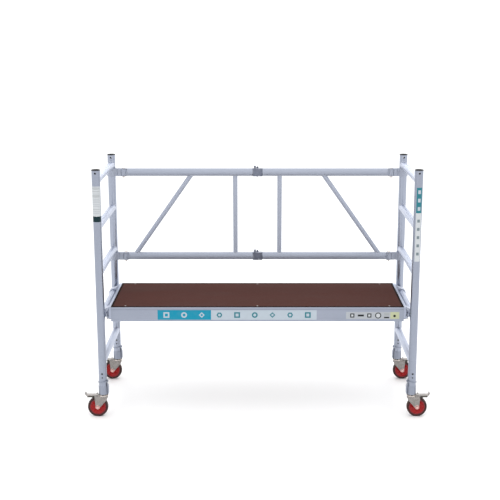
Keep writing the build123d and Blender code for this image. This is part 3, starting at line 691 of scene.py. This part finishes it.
def bent_patch(builder, place, z_low, z_high, half_width, lift):
    """Thin film wrapped round the -Y side of a vertical tube at place."""
    outer = TUBE_R + lift + FILM_THICK
    inner = TUBE_R + lift
    reach = half_width / TUBE_R
    grid = []
    for radius in (outer, inner):
        columns_made = []
        for step in range(FILM_COLUMNS + 1):
            angle = reach * (2.0 * step / FILM_COLUMNS - 1.0)
            x = place[0] + radius * math.sin(angle)
            y = place[1] - radius * math.cos(angle)
            columns_made.append([builder.verts.new((x, y, z)) for z in (z_low, z_high)])
        grid.append(columns_made)
    front, back = grid
    for sheet_columns in grid:
        for first, second in zip(sheet_columns, sheet_columns[1:]):
            builder.faces.new((first[0], second[0], second[1], first[1]))
    for end in (0, 1):
        for step in range(FILM_COLUMNS):
            builder.faces.new((front[step][end], front[step + 1][end], back[step + 1][end], back[step][end]))
    for step in (0, FILM_COLUMNS):
        builder.faces.new((front[step][0], front[step][1], back[step][1], back[step][0]))


def tube_print(name, material, place, spans, half_width, lift=LABEL_LIFT, shift=0.0):
    """Film pieces on a front upright, one for each (low, high) span of heights."""
    builder = bmesh.new()
    turn = Matrix.Rotation(shift, 4, "Z")
    centre = Vector((place[0], place[1], 0.0))
    for low, high in spans:
        before = set(builder.verts)
        bent_patch(builder, place, low, high, half_width, lift)
        made = [vertex for vertex in builder.verts if vertex not in before]
        bmesh.ops.rotate(builder, verts=made, cent=centre, matrix=turn)
    new_piece(name, mesh_from(builder, name), material, "root", shade=False)


def shape_outline(kind, size):
    """Corners of a plain printed mark."""
    half = size / 2
    if kind == "square":
        return [(-half, -half), (half, -half), (half, half), (-half, half)]
    if kind == "diamond":
        return [(0, -half), (half, 0), (0, half), (-half, 0)]
    if kind == "bar":
        rise = half * 0.35
        return [(-half, -rise), (half, -rise), (half, rise), (-half, rise)]
    sides = {"disc": 32, "hexagon": 6}[kind]
    turns = [math.tau * step / sides for step in range(sides)]
    return [(half * math.cos(turn), half * math.sin(turn)) for turn in turns]


def beam_mark(builder, kind, x, z, size, lift, wide):
    """Thin mark on the front face of the front edge beam."""
    y_back = BEAM_FACE_Y - lift
    y_front = y_back - FILM_THICK
    corners = shape_outline(kind, size)
    front = [builder.verts.new((x + across * wide, y_front, z + up)) for across, up in corners]
    back = [builder.verts.new((x + across * wide, y_back, z + up)) for across, up in corners]
    builder.faces.new(front)
    builder.faces.new(list(reversed(back)))
    for index in range(len(corners)):
        after = (index + 1) % len(corners)
        builder.faces.new((front[index], front[after], back[after], back[index]))


def beam_print(name, material, marks, lift):
    builder = bmesh.new()
    for kind, x, z, size, wide in marks:
        beam_mark(builder, kind, x, z, size, lift, wide)
    new_piece(name, mesh_from(builder, name), material, "platform", shade=False)


PANEL_Z = 635.0 * MM
PANEL_HEIGHT = 62.0 * MM
TEAL_FROM, TEAL_TO, PALE_TO = -610.0 * MM, -283.0 * MM, 362.0 * MM
MARK_KINDS = ["square", "disc", "diamond", "hexagon"]
MARK_CORE = 0.5  # hollow middle of a mark as a share of its size
MARK_SIZE = 36.0 * MM
BEAM_MARKS, TEAL_MARKS = 9, 3


def print_beam():
    teal = ("square", (TEAL_FROM + TEAL_TO) / 2, PANEL_Z, PANEL_HEIGHT, (TEAL_TO - TEAL_FROM) / PANEL_HEIGHT)
    pale = ("square", (TEAL_TO + PALE_TO) / 2, PANEL_Z, PANEL_HEIGHT, (PALE_TO - TEAL_TO) / PANEL_HEIGHT)
    beam_print("beam_panel_teal", TEAL, [teal], PANEL_LIFT)
    beam_print("beam_panel_pale", PALE, [pale], PANEL_LIFT)
    pitch = (PALE_TO - TEAL_FROM) / BEAM_MARKS
    light, dark, light_core, dark_core = [], [], [], []
    for count in range(BEAM_MARKS):
        x = TEAL_FROM + pitch * (count + 0.5)
        kind = MARK_KINDS[count % len(MARK_KINDS)]
        on_teal = count < TEAL_MARKS
        (light if on_teal else dark).append((kind, x, PANEL_Z, MARK_SIZE, 1.0))
        (light_core if on_teal else dark_core).append((kind, x, PANEL_Z, MARK_SIZE * MARK_CORE, 1.0))
    beam_print("beam_marks_light", PALE, light, MARK_LIFT)
    beam_print("beam_marks_dark", DARK_TEAL, dark, MARK_LIFT)
    beam_print("beam_cores_teal", TEAL, light_core, CORE_LIFT)
    beam_print("beam_cores_pale", PALE, dark_core, CORE_LIFT)


def print_load_strip():
    """Row of plain signs near the right end of the beam."""
    low_x, high_x, mid_z, height = 542.0 * MM, 812.0 * MM, 632.0 * MM, 44.0 * MM
    strip = ("square", (low_x + high_x) / 2, mid_z, height, (high_x - low_x) / height)
    beam_print("beam_strip_pale", STRIP, [strip], PANEL_LIFT)
    lime = ("square", 840.0 * MM, mid_z, height, 1.25)
    beam_print("beam_strip_lime", LIME, [lime], PANEL_LIFT)
    signs = [("square", 580.0 * MM, mid_z, 26.0 * MM, 1.0),
             ("bar", 632.0 * MM, mid_z, 34.0 * MM, 1.1),
             ("square", 684.0 * MM, mid_z, 26.0 * MM, 1.0),
             ("disc", 738.0 * MM, mid_z, 38.0 * MM, 1.0),
             ("bar", 790.0 * MM, mid_z - 13 * MM, 26.0 * MM, 1.2),
             ("disc", 838.0 * MM, mid_z - 3 * MM, 16.0 * MM, 1.0)]
    beam_print("beam_signs_ink", INK, signs, MARK_LIFT)
    hollows = [("disc", 738.0 * MM, mid_z, 26.0 * MM, 1.0),
               ("square", 580.0 * MM, mid_z, 13.0 * MM, 1.0),
               ("square", 684.0 * MM, mid_z, 13.0 * MM, 1.0)]
    beam_print("beam_signs_white", WHITE, hollows, CORE_LIFT)
    rules = [("bar", 790.0 * MM, mid_z + up * MM, 24.0 * MM, 1.3) for up in (4.0, 12.0)]
    beam_print("beam_signs_grey", GREY, rules, MARK_LIFT)


LEFT_LINES = ((1424, 6), (1410, 3), (1377, 5), (1385, 4), (1302, 3))  # lower edge and height, mm
LEFT_RULES = (1434, 1395, 1364, 1354, 1344, 1332, 1322, 1290, 1280)  # lower edges, mm
RIGHT_PITCH = 50  # between the marks of the right label, mm


def right_spans(first, height, count):
    """Low and high edges of a column of marks on the right label, from heights in mm."""
    lows = [first + RIGHT_PITCH * step for step in range(count)]
    return [(low * MM, (low + height) * MM) for low in lows]


def print_uprights():
    left = (-UPRIGHT_X, -UPRIGHT_Y)
    right = (UPRIGHT_X, -UPRIGHT_Y)
    tube_print("left_label_white", WHITE, left, [(1260 * MM, 1441 * MM)], 30 * MM)
    tube_print("left_label_night", NIGHT, left, [(1228 * MM, 1262 * MM)], 30 * MM)
    lines = [(z * MM, (z + high) * MM) for z, high in LEFT_LINES]
    tube_print("left_label_lines", GREY, left, lines, 24 * MM, LABEL_MARK_LIFT)
    faint = [(z * MM, (z + 3) * MM) for z in LEFT_RULES]
    tube_print("left_label_rules", STRIP, left, faint, 22 * MM, LABEL_MARK_LIFT)
    tube_print("right_label_teal", DARK_TEAL, right, [(1282 * MM, 1434 * MM)], 17 * MM, shift=RIGHT_TURN)
    tube_print("right_label_white", WHITE, right, [(988 * MM, 1282 * MM)], 17 * MM, shift=RIGHT_TURN)
    teal_marks = right_spans(1297, 22, 3)
    tube_print("right_marks_light", PALE, right, teal_marks, 8 * MM, LABEL_MARK_LIFT, RIGHT_TURN)
    grey_marks = right_spans(1026, 18, 5)
    tube_print("right_marks_grey", SLATE, right, grey_marks, 8 * MM, LABEL_MARK_LIFT, RIGHT_TURN)


# ---------- camera, floor and light ----------
CAMERA_HEIGHT = 2.4538
CAMERA_BACK = 6.365
CAMERA_PITCH = 13.07  # degrees below the horizontal
LENS = 74.62
SHIFT_X = -0.01478


def add_camera():
    data = bpy.data.cameras.new("camera")
    data.lens = LENS
    data.sensor_width = 36.0
    data.shift_x = SHIFT_X
    data.clip_end = 200.0
    camera = bpy.data.objects.new("camera", data)
    camera.location = (0.0, -CAMERA_BACK, CAMERA_HEIGHT)
    camera.rotation_euler = (math.radians(90.0 - CAMERA_PITCH), 0.0, 0.0)
    bpy.context.scene.collection.objects.link(camera)
    bpy.context.scene.camera = camera


def add_floor():
    builder = bmesh.new()
    bmesh.ops.create_circle(builder, cap_ends=True, segments=96, radius=60.0)
    floor = bpy.data.objects.new("floor", mesh_from(builder, "floor"))
    bpy.context.scene.collection.objects.link(floor)
    shader = Shader("floor_white", (0.95, 0.95, 0.95), roughness=0.9, specular=0.0)
    cloud = shader.noise(shader.places(), 0.4, 2.0)
    shader.drive("Base Color", shader.mix(cloud, (0.945, 0.945, 0.945), (0.955, 0.955, 0.955)))
    floor.data.materials.append(shader.material)


def add_area(name, place, aim, size, power):
    data = bpy.data.lights.new(name, "AREA")
    data.shape = "RECTANGLE"
    data.size, data.size_y = size
    data.energy = power
    light = bpy.data.objects.new(name, data)
    light.location = place
    light.rotation_euler = (Vector(aim) - Vector(place)).to_track_quat("-Z", "Y").to_euler()
    bpy.context.scene.collection.objects.link(light)


def add_light():
    world = bpy.data.worlds.new("studio")
    world.use_nodes = True
    background = world.node_tree.nodes["Background"]
    background.inputs["Color"].default_value = (1.0, 1.0, 1.0, 1.0)
    background.inputs["Strength"].default_value = 1.35
    bpy.context.scene.world = world
    add_area("top_softbox", (0.0, -0.4, 4.2), (0.0, 0.0, 0.6), (4.5, 3.5), 20.0)
    add_area("rear_softbox", (0.0, 4.6, 3.9), (0.0, 0.0, 0.9), (6.0, 1.8), 70.0)
    bpy.context.scene.view_settings.view_transform = "Standard"


# ---------- build ----------
dress_frame()
weld_rungs()
weld_gate()
dress_castors()
print_beam()
print_load_strip()
print_uprights()
add_camera()
add_floor()
add_light()
